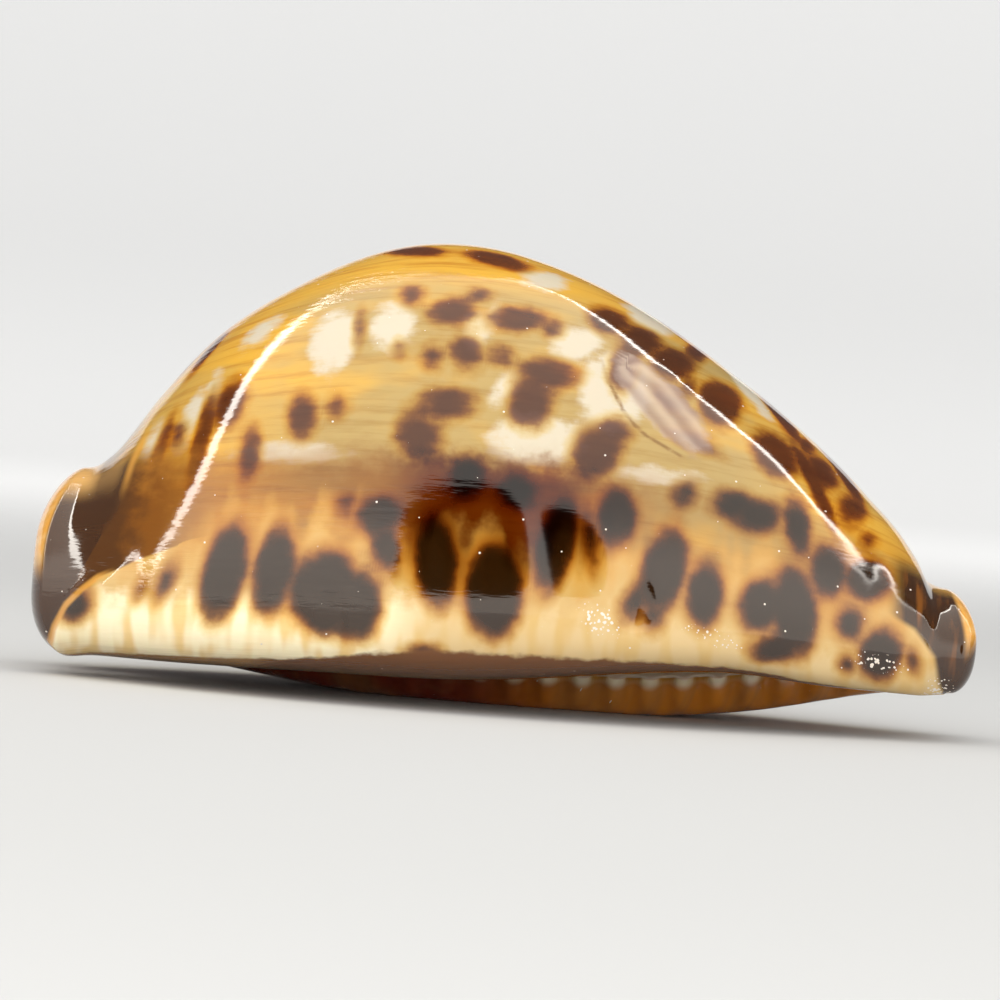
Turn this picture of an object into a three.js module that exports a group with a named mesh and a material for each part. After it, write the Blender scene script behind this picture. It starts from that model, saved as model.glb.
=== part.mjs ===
// A humpbacked cowrie shell, grown in one piece: a thick rolled wall open along a narrow toothed slit
// underneath. +Z is up, +X points to the front (siphon) end, -Y is the outer-lip side. Millimetres.
import * as THREE from 'three';
import { LoftGeometry } from 'three/addons/geometries/LoftGeometry.js';

// The shell lies on its inner-lip base. Each list below gives [station along X, value] by hand, in mm.
const CREST_Z = [[-28.2, 12.8], [-27, 13.2], [-26.1, 13.3], [-25.1, 14], [-23.8, 15.6], [-22.2, 17.8],
  [-20.4, 20.4], [-18.1, 22.7], [-15.7, 24.3], [-12.2, 26.4], [-9, 27.8], [-5.4, 28.5], [-2.4, 28.4],
  [1.3, 27.5], [5.1, 26.1], [9, 24], [12.8, 21.5], [16.7, 18.7], [20.6, 15.4], [23.2, 12.8], [24.8, 10.7],
  [25.6, 9.3], [26.2, 9], [27, 8.8], [27.8, 8]];
const CREST_Y = [[-28, 0.5], [-18, 2], [-5, 2.5], [12, 1.8], [28, 0.3]];
const OUTER_SIDE_Y = [[-28.4, -7.2], [-27.2, -8], [-26, -8.9], [-24.5, -10.2], [-22, -12.5], [-18, -15.3],
  [-13, -17.1], [-7, -17.9], [-1, -17.9], [5, -17], [10, -15.4], [16, -12.5], [21, -9.5], [25, -7],
  [27, -6], [28.4, -5.4]];
const INNER_SIDE_Y = [[-28.4, 7.1], [-27.2, 7.9], [-26, 8.9], [-24.5, 10.3], [-22, 12.9], [-18, 15.9],
  [-13, 17.8], [-7, 18.6], [-1, 18.4], [5, 17.3], [10, 15.3], [16, 12], [21, 8.8], [25, 6.3], [27, 5.4],
  [28.4, 4.8]];
const OUTER_SIDE_Z = [[-28, 5.6], [-20, 5.2], [-8, 5.3], [6, 5.6], [16, 5.5], [24, 4.9], [28, 5]];
const INNER_SIDE_Z = [[-28, 6.8], [-18, 6.2], [0, 5.6], [16, 5.6], [28, 5.4]];
const OUTER_LIP_Z = [[-28, 2.4], [-26.5, 1.85], [-19, 1.75], [-12, 1.8], [-4, 1.8], [1, 2.15], [6.5, 2.75],
  [10, 3.1], [13.6, 3.3], [16.2, 3.1], [18.3, 2.75], [20, 2.7], [24.4, 2.45], [26.5, 2.6], [28, 3]];
const INNER_LIP_Z = [[-28, 2.4], [-20, 1.65], [-14.3, 0.9], [-11.5, 0.45], [-8, 0.15], [-4, -0.1], [2, -0.25],
  [8, -0.2], [11.7, 0.05], [14.1, 0.3], [16.6, 0.7], [19, 1.2], [21.4, 1.8], [24, 2.2], [28, 2.8]];
const SLIT_Y = [[-28, 1.6], [-24, -0.2], [-18, -2.4], [-10, -3.8], [0, -4.3], [10, -3.9], [18, -2.6],
  [24, -1.2], [28, -0.5]];
const SLIT_HALF = [[-28, 1.8], [-24, 1.2], [-16, 1.05], [-5, 1.2], [8, 1.5], [15, 1.9], [28, 1.9]];
const CREST_WALL = [[-24, 5], [-20, 3.2], [-10, 2.2], [8, 2.2], [18, 2.8], [22, 3.6]];

const BACK_X = -26.5;          // roof of the back rim
const FRONT_X = 26.6;          // roof of the front rim
const BAYS = 51;               // stations alternate tooth and gap, so a tooth is two bays long
const RIM = 1.1;               // depth of the rounding on each end rim
const RIM_ANGLES = [20, 40, 60, 78, 90]; // the last one closes a rim on the wall's middle line
const BACK_REACH = 1.4;        // how far the flanks of a rim stand out past its roof
const FRONT_REACH = 0.8;
const OUTER_ROUND = 3.4;        // width of the rounding from base to slit edge
const INNER_ROUND = 5;
const LIP_DEPTH = 1.9;         // base up to the edge facing the slit
const INNER_LIP_EXTRA = 0.4;   // the inner edge stands this much further up
const LIP_THICK = 3.7;
const LIP_BACK = 2.4;          // width of the rounding from slit edge to the chamber floor
const FLANK_WALL = 1.15;       // flank walls against the crest wall
const CANAL_FROM = 19;         // beyond this the chamber narrows to a canal
const CANAL_BLEND = 6;
const FUNNEL_FROM = 23.8;      // beyond this the canal flares
const FUNNEL_BLEND = 2.6;
const BOW_FROM = 18;           // beyond this the flanks bow out past the roof
const TOOTH = 0.45;            // depth of the gaps between teeth
const OUTER_TOOTH_LONG = 3.6;
const INNER_TOOTH_LONG = 1.8;
const TEETH_TOP = 4.5;         // teeth fade out above this height
const TEETH_FROM = -23;
const TEETH_TO = 22.5;
const TIP_DEG = 1;             // back end settles this much lower
const SETTLE = 0.33;           // depth worn flat where it rests
const QUARTERS = [3, 5, 8, 8, 5, 3];
const OUTER_BULGE = [2, 2.4, 1.9, 1.95, 2.5, 3.6];
const INNER_BULGE = [2, 2.2, 2.1, 2.1, 2.2, 2];

const clamp = (v, lo, hi) => Math.min(hi, Math.max(lo, v));
const mix = (a, b, t) => a + (b - a) * t;
const ease = (t) => {
  const u = clamp(t, 0, 1);
  return u * u * (3 - 2 * u);
};

// Smooth curve through hand-given points; it never swings past them.
function curve(points) {
  const slope = points.slice(1).map((p, i) => (p[1] - points[i][1]) / (p[0] - points[i][0]));
  const bend = points.map((p, i) => {
    const before = slope[Math.max(i - 1, 0)];
    const after = slope[Math.min(i, slope.length - 1)];
    return before * after > 0 ? 2 * before * after / (before + after) : 0;
  });
  return (x) => {
    const at = clamp(x, points[0][0], points[points.length - 1][0]);
    const k = Math.max(0, points.slice(0, -1).findLastIndex((p) => p[0] <= at));
    const [x0, y0] = points[k];
    const [x1, y1] = points[k + 1];
    const h = x1 - x0;
    const t = (at - x0) / h;
    const s = 1 - t;
    return y0 * (1 + 2 * t) * s * s + y1 * t * t * (3 - 2 * t) + h * t * s * (bend[k] * s - bend[k + 1] * t);
  };
}

const crestZ = curve(CREST_Z);
const crestY = curve(CREST_Y);
const outerSideY = curve(OUTER_SIDE_Y);
const innerSideY = curve(INNER_SIDE_Y);
const outerSideZ = curve(OUTER_SIDE_Z);
const innerSideZ = curve(INNER_SIDE_Z);
const outerLipZ = curve(OUTER_LIP_Z);
const innerLipZ = curve(INNER_LIP_Z);
const slitY = curve(SLIT_Y);
const slitHalf = curve(SLIT_HALF);
const crestWall = curve(CREST_WALL);

// Quarter of a superellipse from an upright-running point to a level-running point.
function quarter(upright, level, bulge, t) {
  const f = t * Math.PI / 2;
  const c = Math.max(Math.cos(f), 0) ** (2 / bulge);
  const s = Math.sin(f) ** (2 / bulge);
  return [mix(level[0], upright[0], c), mix(upright[1], level[1], s)];
}

// Chain of quarters through seven corners, alternately upright and level.
function chain(corners, bulges) {
  const line = [corners[0]];
  QUARTERS.forEach((count, i) => {
    for (let j = 1; j <= count; j += 1) {
      const t = j / count;
      line.push(i % 2 === 0
        ? quarter(corners[i], corners[i + 1], bulges[i], t)
        : quarter(corners[i + 1], corners[i], bulges[i], 1 - t));
    }
  });
  return line;
}

// Corners of the outside of the wall, from the outer lip's edge over the crest to the inner lip's edge.
function outsideCorners(x) {
  const outerEdge = slitY(x) - slitHalf(x);
  const innerEdge = slitY(x) + slitHalf(x);
  const outerRound = Math.min(OUTER_ROUND, 0.5 * (outerEdge - outerSideY(x)));
  const innerRound = Math.min(INNER_ROUND, 0.42 * (innerSideY(x) - innerEdge));
  return [
    [outerEdge, outerLipZ(x) + LIP_DEPTH],
    [outerEdge - outerRound, outerLipZ(x)],
    [outerSideY(x), outerSideZ(x)],
    [crestY(x), crestZ(x)],
    [innerSideY(x), innerSideZ(x)],
    [innerEdge + innerRound, innerLipZ(x)],
    [innerEdge, innerLipZ(x) + LIP_DEPTH + INNER_LIP_EXTRA],
  ];
}

// Corners of the inside: a wide chamber amidships, only a canal near each end, and a funnel at each rim.
function insideCorners(x) {
  const [outerEdge, , outerSide, crest, innerSide, , innerEdge] = outsideCorners(x);
  const canal = ease((Math.abs(x) - CANAL_FROM) / CANAL_BLEND);
  const funnel = ease((Math.abs(x) - FUNNEL_FROM) / FUNNEL_BLEND);
  const wall = crestWall(x);
  const flank = FLANK_WALL * wall + 0.6;
  const flare = x < 0 ? 1.9 : 0.9;
  const roofAbove = x < 0 ? 4.6 + 2.4 * funnel : 3.4 + 0.7 * funnel;
  const lipLevel = (outerLipZ(x) + innerLipZ(x)) / 2;
  const canalRoof = Math.min(crest[1] - 2.6, lipLevel + roofAbove);
  const roof = mix(crest[1] - wall, canalRoof, canal);
  const left = mix(outerSide[0] + flank, outerEdge[0] - 0.25 - flare * funnel, canal);
  const right = mix(innerSide[0] - flank, innerEdge[0] + 0.25 + flare * funnel, canal);
  const leftFloor = outerLipZ(x) + LIP_THICK;
  const rightFloor = innerLipZ(x) + LIP_THICK;
  return [
    outerEdge,
    [outerEdge[0] - Math.min(LIP_BACK, 0.5 * (outerEdge[0] - left)), leftFloor],
    [left, mix(leftFloor + 0.3 * (roof - leftFloor), leftFloor + 0.12, canal)],
    [mix(crest[0], slitY(x), canal), roof],
    [right, mix(rightFloor + 0.24 * (roof - rightFloor), rightFloor + 0.12, canal)],
    [innerEdge[0] + Math.min(LIP_BACK, 0.5 * (right - innerEdge[0])), rightFloor],
    innerEdge,
  ];
}

// Cuts the gap between two teeth into a lip point; gap is 1 between teeth and 0 on a tooth.
function withTeeth([y, z], x, gap) {
  const onTeeth = x > TEETH_FROM && x < TEETH_TO ? gap : 0;
  const outerEdge = slitY(x) - slitHalf(x);
  const innerEdge = slitY(x) + slitHalf(x);
  const outer = y <= outerEdge + 0.01 ? 1 - ease((outerEdge - y) / OUTER_TOOTH_LONG) : 0;
  const inner = y >= innerEdge - 0.01 ? 1 - ease((y - innerEdge) / INNER_TOOTH_LONG) : 0;
  const nearBase = 1 - ease((z - TEETH_TOP) / 2);
  const cut = TOOTH * onTeeth * nearBase;
  return [y + cut * (inner - outer), z + cut * Math.max(outer, inner)];
}

// How far forward of its station a point of the rim stands: flanks bow out past the roof.
function standOut(x, z) {
  const reach = x < 0 ? -BACK_REACH : FRONT_REACH;
  const rise = clamp((Math.abs(x) - BOW_FROM) / (Math.abs(x < 0 ? BACK_X : FRONT_X) - BOW_FROM), 0, 1);
  const top = crestZ(x);
  const down = Math.sin(clamp((top - z) / (0.36 * top), 0, 1) * Math.PI / 2);
  const tuck = 0.6 * clamp((5.5 - z) / 3.5, 0, 1) ** 2;
  return reach * rise * rise * (down - tuck);
}

// One closed loop of the wall at a station, thinned toward its middle line by `thin`.
function loop(x, gap, thin = 1, push = 0) {
  const outside = chain(outsideCorners(x), OUTER_BULGE);
  const inside = chain(insideCorners(x), INNER_BULGE);
  const toMiddle = (p, q) => [mix((p[0] + q[0]) / 2, p[0], thin), mix((p[1] + q[1]) / 2, p[1], thin)];
  const over = outside.map((p, i) => withTeeth(toMiddle(p, inside[i]), x, gap));
  const back = inside.map((p, i) => toMiddle(p, outside[i])).slice(1, -1).reverse();
  return [...over, ...back].reverse().map(([y, z]) => new THREE.Vector3(x + push + standOut(x, z), y, z));
}

function allLoops() {
  const rounding = (x, sign) => RIM_ANGLES.map((deg) => {
    const a = deg * Math.PI / 180;
    return loop(x, 0, Math.cos(a), sign * RIM * Math.sin(a));
  });
  const stations = Array.from({ length: BAYS + 1 }, (_, i) => loop(mix(BACK_X, FRONT_X, i / BAYS), i % 2));
  return [...rounding(BACK_X, -1).reverse(), ...stations, ...rounding(FRONT_X, 1)];
}

// Lays the shell in its resting pose: tipped, worn flat where it touches, middle of its box at the origin.
function layToRest(loops) {
  const points = loops.flat();
  const tip = TIP_DEG * Math.PI / 180;
  points.forEach((p) => p.applyAxisAngle(new THREE.Vector3(0, -1, 0), tip));
  const base = Math.min(...points.map((p) => p.z)) + SETTLE;
  points.forEach((p) => p.setZ(Math.max(p.z - base, 0)));
  const middle = new THREE.Box3().setFromPoints(points).getCenter(new THREE.Vector3());
  points.forEach((p) => p.sub(middle.clone().setZ(0)));
  return loops;
}

const skin = new LoftGeometry(layToRest(allLoops()), { closed: true, capStart: false, capEnd: false });

const glaze = new THREE.MeshStandardMaterial({ color: '#b07c42', roughness: 0.12, metalness: 0 });
const shell = new THREE.Mesh(skin, glaze);
shell.name = 'shell';

const part = new THREE.Group();
part.add(shell);
export default part;
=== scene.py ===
"""Cowrie shell: the fine glossy surface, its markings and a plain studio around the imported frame."""
import math
import random

import bpy
import numpy as np
from mathutils import Matrix, Vector


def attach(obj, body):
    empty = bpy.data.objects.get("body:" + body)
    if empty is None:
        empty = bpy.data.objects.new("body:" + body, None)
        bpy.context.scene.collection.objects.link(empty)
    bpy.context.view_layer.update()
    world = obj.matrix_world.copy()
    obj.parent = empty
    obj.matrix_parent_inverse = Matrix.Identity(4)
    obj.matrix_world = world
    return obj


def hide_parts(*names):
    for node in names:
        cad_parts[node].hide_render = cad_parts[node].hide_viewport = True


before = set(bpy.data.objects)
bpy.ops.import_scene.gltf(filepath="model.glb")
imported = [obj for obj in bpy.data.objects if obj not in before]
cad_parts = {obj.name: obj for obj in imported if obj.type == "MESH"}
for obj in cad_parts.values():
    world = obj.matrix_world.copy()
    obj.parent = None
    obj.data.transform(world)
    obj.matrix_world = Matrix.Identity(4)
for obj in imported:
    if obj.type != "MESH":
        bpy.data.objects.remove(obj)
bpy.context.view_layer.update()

MM = 0.001

# ---------------------------------------------------------------- shape of the shell, in millimetres
# +X is the front (siphon) end and -Y the outer-lip side. Each list gives [station along X, value].
CREST_Z = [[-28.2, 12.8], [-27, 13.2], [-26.1, 13.3], [-25.1, 14], [-23.8, 15.6], [-22.2, 17.8],
           [-20.4, 20.4], [-18.1, 22.7], [-15.7, 24.3], [-12.2, 26.4], [-9, 27.8], [-5.4, 28.5],
           [-2.4, 28.4], [1.3, 27.5], [5.1, 26.1], [9, 24], [12.8, 21.5], [16.7, 18.7], [20.6, 15.4],
           [23.2, 12.8], [24.8, 10.7], [25.6, 9.3], [26.2, 9], [27, 8.8], [27.8, 8]]
CREST_Y = [[-28, 0.5], [-18, 2], [-5, 2.5], [12, 1.8], [28, 0.3]]
OUTER_SIDE_Y = [[-28.4, -7.2], [-27.2, -8], [-26, -8.9], [-24.5, -10.2], [-22, -12.5], [-18, -15.3],
                [-13, -17.1], [-7, -17.9], [-1, -17.9], [5, -17], [10, -15.4], [16, -12.5], [21, -9.5],
                [25, -7], [27, -6], [28.4, -5.4]]
INNER_SIDE_Y = [[-28.4, 7.1], [-27.2, 7.9], [-26, 8.9], [-24.5, 10.3], [-22, 12.9], [-18, 15.9],
                [-13, 17.8], [-7, 18.6], [-1, 18.4], [5, 17.3], [10, 15.3], [16, 12], [21, 8.8],
                [25, 6.3], [27, 5.4], [28.4, 4.8]]
OUTER_SIDE_Z = [[-28, 5.6], [-20, 5.2], [-8, 5.3], [6, 5.6], [16, 5.5], [24, 4.9], [28, 5]]
BELT_Z = [[-28, 6.8], [-20, 7.4], [-8, 8.2], [6, 8], [16, 7], [24, 5.6], [28, 5.2]]
INNER_SIDE_Z = [[-28, 6.8], [-18, 6.2], [0, 5.6], [16, 5.6], [28, 5.4]]
OUTER_LIP_Z = [[-28, 2.4], [-26.5, 1.85], [-19, 1.75], [-12, 1.8], [-4, 1.8], [1, 2.15], [6.5, 2.75],
               [10, 3.1], [13.6, 3.3], [16.2, 3.1], [18.3, 2.75], [20, 2.7], [24.4, 2.45], [26.5, 2.6],
               [28, 3]]
INNER_LIP_Z = [[-28, 2.4], [-20, 1.65], [-14.3, 0.9], [-11.5, 0.45], [-8, 0.15], [-4, -0.1], [2, -0.25],
               [8, -0.2], [11.7, 0.05], [14.1, 0.3], [16.6, 0.7], [19, 1.2], [21.4, 1.8], [24, 2.2],
               [28, 2.8]]
SLIT_Y = [[-28, 1.6], [-24, -0.2], [-18, -2.4], [-10, -3.8], [0, -4.3], [10, -3.9], [18, -2.6],
          [24, -1.2], [28, -0.5]]
SLIT_HALF = [[-28, 1.8], [-24, 1.2], [-16, 1.05], [-5, 1.2], [8, 1.5], [15, 1.9], [28, 1.9]]
CREST_WALL = [[-24, 5], [-20, 3.2], [-10, 2.2], [8, 2.2], [18, 2.8], [22, 3.6]]

BACK_X = -26.5
FRONT_X = 26.6
BAYS = 51
STATIONS_PER_BAY = 6
RIM = 1.1
RIM_STEPS = 10
SMOOTH_ALONG = 1.6
SMOOTH_ROUND = 16
BACK_REACH = 1.4
FRONT_REACH = 0.8
OUTER_ROUND = 3.4
INNER_ROUND = 5
LIP_DEPTH = 1.9
INNER_LIP_EXTRA = 0.4
LIP_THICK = 3.7
LIP_BACK = 2.4
FLANK_WALL = 1.15
CANAL_FROM = 19
CANAL_BLEND = 6
FUNNEL_FROM = 23.8
FUNNEL_BLEND = 2.6
BOW_FROM = 18
TOOTH = 0.45
OUTER_TOOTH_LONG = 3.6
INNER_TOOTH_LONG = 1.8
TEETH_TOP = 4.5
TEETH_FROM = -23
TEETH_TO = 22.5
TIP = math.radians(1)
SETTLE = 0.33
QUARTERS = [10, 20, 36, 36, 20, 10]
OUTER_BULGE = [2, 2.4, 1.9, 1.95, 2.5, 3.6]
INNER_BULGE = [2, 2.2, 2.1, 2.1, 2.2, 2]


def mix(a, b, t):
    return a + (b - a) * t


def ease(t):
    u = np.clip(t, 0, 1)
    return u * u * (3 - 2 * u)


def curve(points):
    """Smooth curve through listed points that never swings past them."""
    xs, ys = np.array(points, float).T
    slope = np.diff(ys) / np.diff(xs)
    before = np.concatenate([slope[:1], slope])
    after = np.concatenate([slope, slope[-1:]])
    level = before * after <= 0
    bend = np.where(level, 0, 2 * before * after / np.where(level, 1, before + after))

    def at(x):
        x = np.clip(x, xs[0], xs[-1])
        k = np.clip(np.searchsorted(xs, x, side="right") - 1, 0, len(xs) - 2)
        h = xs[k + 1] - xs[k]
        t = (x - xs[k]) / h
        s = 1 - t
        hermite = ys[k] * (1 + 2 * t) * s * s + ys[k + 1] * t * t * (3 - 2 * t)
        return hermite + h * t * s * (bend[k] * s - bend[k + 1] * t)

    return at


crest_z, crest_y = curve(CREST_Z), curve(CREST_Y)
outer_side_y, inner_side_y = curve(OUTER_SIDE_Y), curve(INNER_SIDE_Y)
outer_side_z, inner_side_z = curve(OUTER_SIDE_Z), curve(INNER_SIDE_Z)
outer_lip_z, inner_lip_z = curve(OUTER_LIP_Z), curve(INNER_LIP_Z)
belt_z = curve(BELT_Z)
slit_y, slit_half, crest_wall = curve(SLIT_Y), curve(SLIT_HALF), curve(CREST_WALL)


def chain(corners, bulges):
    """Quarters of superellipses through seven corners, alternately upright and level."""
    line = [corners[0]]
    for i, count in enumerate(QUARTERS):
        upright, level = (corners[i], corners[i + 1]) if i % 2 == 0 else (corners[i + 1], corners[i])
        for j in range(1, count + 1):
            t = j / count if i % 2 == 0 else 1 - j / count
            c = max(math.cos(t * math.pi / 2), 0) ** (2 / bulges[i])
            s = math.sin(t * math.pi / 2) ** (2 / bulges[i])
            line.append((mix(level[0], upright[0], c), mix(upright[1], level[1], s)))
    return np.moveaxis(np.array(line), 1, 2)


def outside_corners(x):
    outer_edge = slit_y(x) - slit_half(x)
    inner_edge = slit_y(x) + slit_half(x)
    outer_round = np.minimum(OUTER_ROUND, 0.5 * (outer_edge - outer_side_y(x)))
    inner_round = np.minimum(INNER_ROUND, 0.42 * (inner_side_y(x) - inner_edge))
    return [
        (outer_edge, outer_lip_z(x) + LIP_DEPTH),
        (outer_edge - outer_round, outer_lip_z(x)),
        (outer_side_y(x), outer_side_z(x)),
        (crest_y(x), crest_z(x)),
        (inner_side_y(x), inner_side_z(x)),
        (inner_edge + inner_round, inner_lip_z(x)),
        (inner_edge, inner_lip_z(x) + LIP_DEPTH + INNER_LIP_EXTRA),
    ]


def inside_corners(x):
    outer_edge, _, outer_side, crest, inner_side, _, inner_edge = outside_corners(x)
    canal = ease((np.abs(x) - CANAL_FROM) / CANAL_BLEND)
    funnel = ease((np.abs(x) - FUNNEL_FROM) / FUNNEL_BLEND)
    wall = crest_wall(x)
    flank = FLANK_WALL * wall + 0.6
    flare = np.where(x < 0, 1.9, 0.9)
    roof_above = np.where(x < 0, 4.6 + 2.4 * funnel, 3.4 + 0.7 * funnel)
    lip_level = (outer_lip_z(x) + inner_lip_z(x)) / 2
    canal_roof = np.minimum(crest[1] - 2.6, lip_level + roof_above)
    roof = mix(crest[1] - wall, canal_roof, canal)
    left = mix(outer_side[0] + flank, outer_edge[0] - 0.25 - flare * funnel, canal)
    right = mix(inner_side[0] - flank, inner_edge[0] + 0.25 + flare * funnel, canal)
    left_floor = outer_lip_z(x) + LIP_THICK
    right_floor = inner_lip_z(x) + LIP_THICK
    return [
        outer_edge,
        (outer_edge[0] - np.minimum(LIP_BACK, 0.5 * (outer_edge[0] - left)), left_floor),
        (left, mix(left_floor + 0.3 * (roof - left_floor), left_floor + 0.12, canal)),
        (mix(crest[0], slit_y(x), canal), roof),
        (right, mix(right_floor + 0.24 * (roof - right_floor), right_floor + 0.12, canal)),
        (inner_edge[0] + np.minimum(LIP_BACK, 0.5 * (right - inner_edge[0])), right_floor),
        inner_edge,
    ]


def tooth_wave(x):
    """1 between teeth and 0 on a tooth, with rounded teeth and narrower gaps."""
    pitch = 2 * (FRONT_X - BACK_X) / BAYS
    wave = 0.5 - 0.5 * np.cos(2 * math.pi * (x - BACK_X) / pitch)
    within = ease((x - TEETH_FROM) / 1.5) * ease((TEETH_TO - x) / 1.5)
    return wave ** 1.4 * within


def cut_teeth(y, z, x):
    outer_edge = slit_y(x) - slit_half(x)
    inner_edge = slit_y(x) + slit_half(x)
    outer = np.where(y <= outer_edge + 0.01, 1 - ease((outer_edge - y) / OUTER_TOOTH_LONG), 0)
    inner = np.where(y >= inner_edge - 0.01, 1 - ease((y - inner_edge) / INNER_TOOTH_LONG), 0)
    low = 1 - ease((z - TEETH_TOP) / 2)
    lip = np.maximum(outer, inner) * low
    cut = TOOTH * tooth_wave(x) * low
    return y + cut * (inner - outer), z + cut * lip, lip


def stand_out(x, z):
    reach = np.where(x < 0, -BACK_REACH, FRONT_REACH)
    end = np.where(x < 0, -BACK_X, FRONT_X)
    rise = np.clip((np.abs(x) - BOW_FROM) / (end - BOW_FROM), 0, 1)
    top = crest_z(x)
    down = np.sin(np.clip((top - z) / (0.36 * top), 0, 1) * math.pi / 2)
    tuck = 0.6 * np.clip((5.5 - z) / 3.5, 0, 1) ** 2
    return reach * rise * rise * (down - tuck)


def smooth_wall(line, x):
    """Evens out the bends where quarters and listed stations meet, amidships and away from the lips."""
    reach = SMOOTH_ALONG * ease((24.5 - np.abs(x)) / 3) + 0.01
    weight = np.exp(-0.5 * ((x[:, None] - x[None, :]) / reach[:, None]) ** 2)
    weight /= weight.sum(axis=1, keepdims=True)
    line = np.einsum("ab,jbk->jak", weight, line)
    first = QUARTERS[0] + QUARTERS[1] // 2
    last = sum(QUARTERS[:5]) - QUARTERS[4] // 2
    place = np.arange(len(line))
    free = 0.5 * ease((place - first) / 6) * ease((last - place) / 6)
    for _ in range(SMOOTH_ROUND):
        beside = (line[:-2] + line[2:]) / 2
        line[1:-1] += free[1:-1, None, None] * (beside - line[1:-1])
    return line


def arc_from_belt(outside, x):
    """Distances round the outside, counted up from the belt line of each flank."""
    step = np.linalg.norm(np.diff(outside, axis=0), axis=2)
    arc = np.concatenate([np.zeros((1, len(x))), np.cumsum(step, axis=0)])
    crest = sum(QUARTERS[:3])
    rising = slice(QUARTERS[0] + 4, crest)
    belt = [np.interp(belt_z(here), outside[rising, k, 1], arc[rising, k]) for k, here in enumerate(x)]
    return arc - np.array(belt), arc[sum(QUARTERS[:4])] - arc, arc, arc[-1] - arc


def shell_grid():
    """Loops of points round the wall, and what the markings need to know at each point."""
    count = BAYS * STATIONS_PER_BAY
    stations = np.linspace(BACK_X, FRONT_X, count + 1)
    angle = np.radians(np.linspace(0, 90, RIM_STEPS + 1)[1:])
    x = np.concatenate([np.full(RIM_STEPS, BACK_X), stations, np.full(RIM_STEPS, FRONT_X)])
    bend = np.concatenate([-angle[::-1], np.zeros(count + 1), angle])
    outside = smooth_wall(chain(outside_corners(x), OUTER_BULGE), x)
    inside = chain(inside_corners(x), INNER_BULGE)
    middle = (outside + inside) / 2
    thin = np.cos(bend)[None, :, None]
    over = mix(middle, outside, thin)
    back = mix(middle, inside, thin)[1:-1][::-1]
    near, far, from_outer, from_inner = arc_from_belt(outside, x)
    toothed = np.maximum(1 - ease((from_outer - 1.6) / 1.8), 1 - ease((from_inner - 0.3) / 0.6))
    y, z, lip = cut_teeth(over[..., 0], over[..., 1], x[None, :])
    y = np.concatenate([y, back[..., 0]]).T
    z = np.concatenate([z, back[..., 1]]).T
    station = np.repeat(x[:, None], y.shape[1], axis=1)
    points = np.stack([station + RIM * np.sin(bend)[:, None] + stand_out(station, z), y, z], axis=-1)
    inner_count = len(back)

    def spread(outer_values, inner_value):
        return np.concatenate([outer_values.T, np.full((len(x), inner_count), inner_value)], axis=1)

    layers = {
        "near": spread(near, -50.0),
        "far": spread(far, -50.0),
        "lip": spread(lip, 0.0),
        "toothed": spread(toothed, 0.0),
        "gap": spread(toothed * tooth_wave(x)[None, :], 0.0),
        "outer": spread(np.ones_like(near), 0.0),
        "rim": np.repeat(np.abs(np.sin(bend))[:, None], y.shape[1], axis=1),
    }
    return points, layers


def lay_to_rest(points):
    x, y, z = np.moveaxis(points, -1, 0)
    turned = np.stack([x * math.cos(TIP) - z * math.sin(TIP), y, z * math.cos(TIP) + x * math.sin(TIP)], -1)
    turned[..., 2] = np.maximum(turned[..., 2] - turned[..., 2].min() - SETTLE, 0)
    flat = turned.reshape(-1, 3)
    middle = (flat.min(axis=0) + flat.max(axis=0)) / 2
    return turned - [middle[0], middle[1], 0]


# ---------------------------------------------------------------- fine relief
# Lines are (station, distance up from the belt) points on the outer-lip side, in mm.
NECK_LINE = [(-24.6, 2.5), (-23.9, 4), (-23.5, 6.5), (-23.3, 8), (-22.8, 10), (-22.4, 12)]
BACK_PAD = [(-20, 1.6), (-22.4, 0.7), (-23.7, 0), (-24.7, -0.4), (-25.7, -1.2), (-26.6, -2.1), (-27.3, -3.5),
            (-27.6, -5), (-27, -7)]
FRONT_PAD = [(26.5, -3), (25.8, -0.6), (24.5, 0.9), (22.6, 1.7), (20.8, 2.2), (18, 1.6)]
SCAR_RIDGE = [(7, 15.6), (8, 14.8), (9.5, 12.7), (11, 10.8), (12.2, 9.8)]
SCAR_CRACK = [(4.6, 16), (4.8, 14.8), (5.6, 13), (6.2, 11.6), (7.5, 10.2), (9.7, 9.2), (11.4, 9.1)]
SCAR_WAVE = 4.6
SCAR_PATCH = (8.4, 13.2, 4.8, 1.9, -52)
PITS = [(7.5, -0.2, 0.8, 0.22), (7.3, -1.5, 0.6, 0.18), (8.2, -1.3, 0.5, 0.12), (26.2, -2.6, 0.9, 0.3),
        (-20.2, 7.2, 0.5, 0.05)]


def edge_distance(line, along, up):
    """Signed distance from an open line, positive on its left-hand side."""
    best = np.full(along.shape, 99.0)
    for (ax, ay), (bx, by) in zip(line, line[1:]):
        dx, dy = bx - ax, by - ay
        t = np.clip(((along - ax) * dx + (up - ay) * dy) / (dx * dx + dy * dy), 0, 1)
        px, py = along - ax - t * dx, up - ay - t * dy
        distance = np.hypot(px, py)
        side = np.where(dx * (up - ay) - dy * (along - ax) >= 0, 1, -1)
        best = np.where(distance < np.abs(best) - 1e-9, distance * side, best)
    return best


def hump(distance, wide):
    return np.exp(-(distance / wide) ** 2)


def ripples(along, up):
    """Faint growth folds down the flanks and lines along the shell, in mm."""
    folds = 0.004 * np.sin(0.8 * along + 0.9 * np.sin(0.35 * up))
    lines = 0.002 * np.sin(2.3 * up + 0.3 * np.sin(0.25 * along)) + 0.0015 * np.sin(4.1 * up + 0.12 * along)
    return folds + lines


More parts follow.
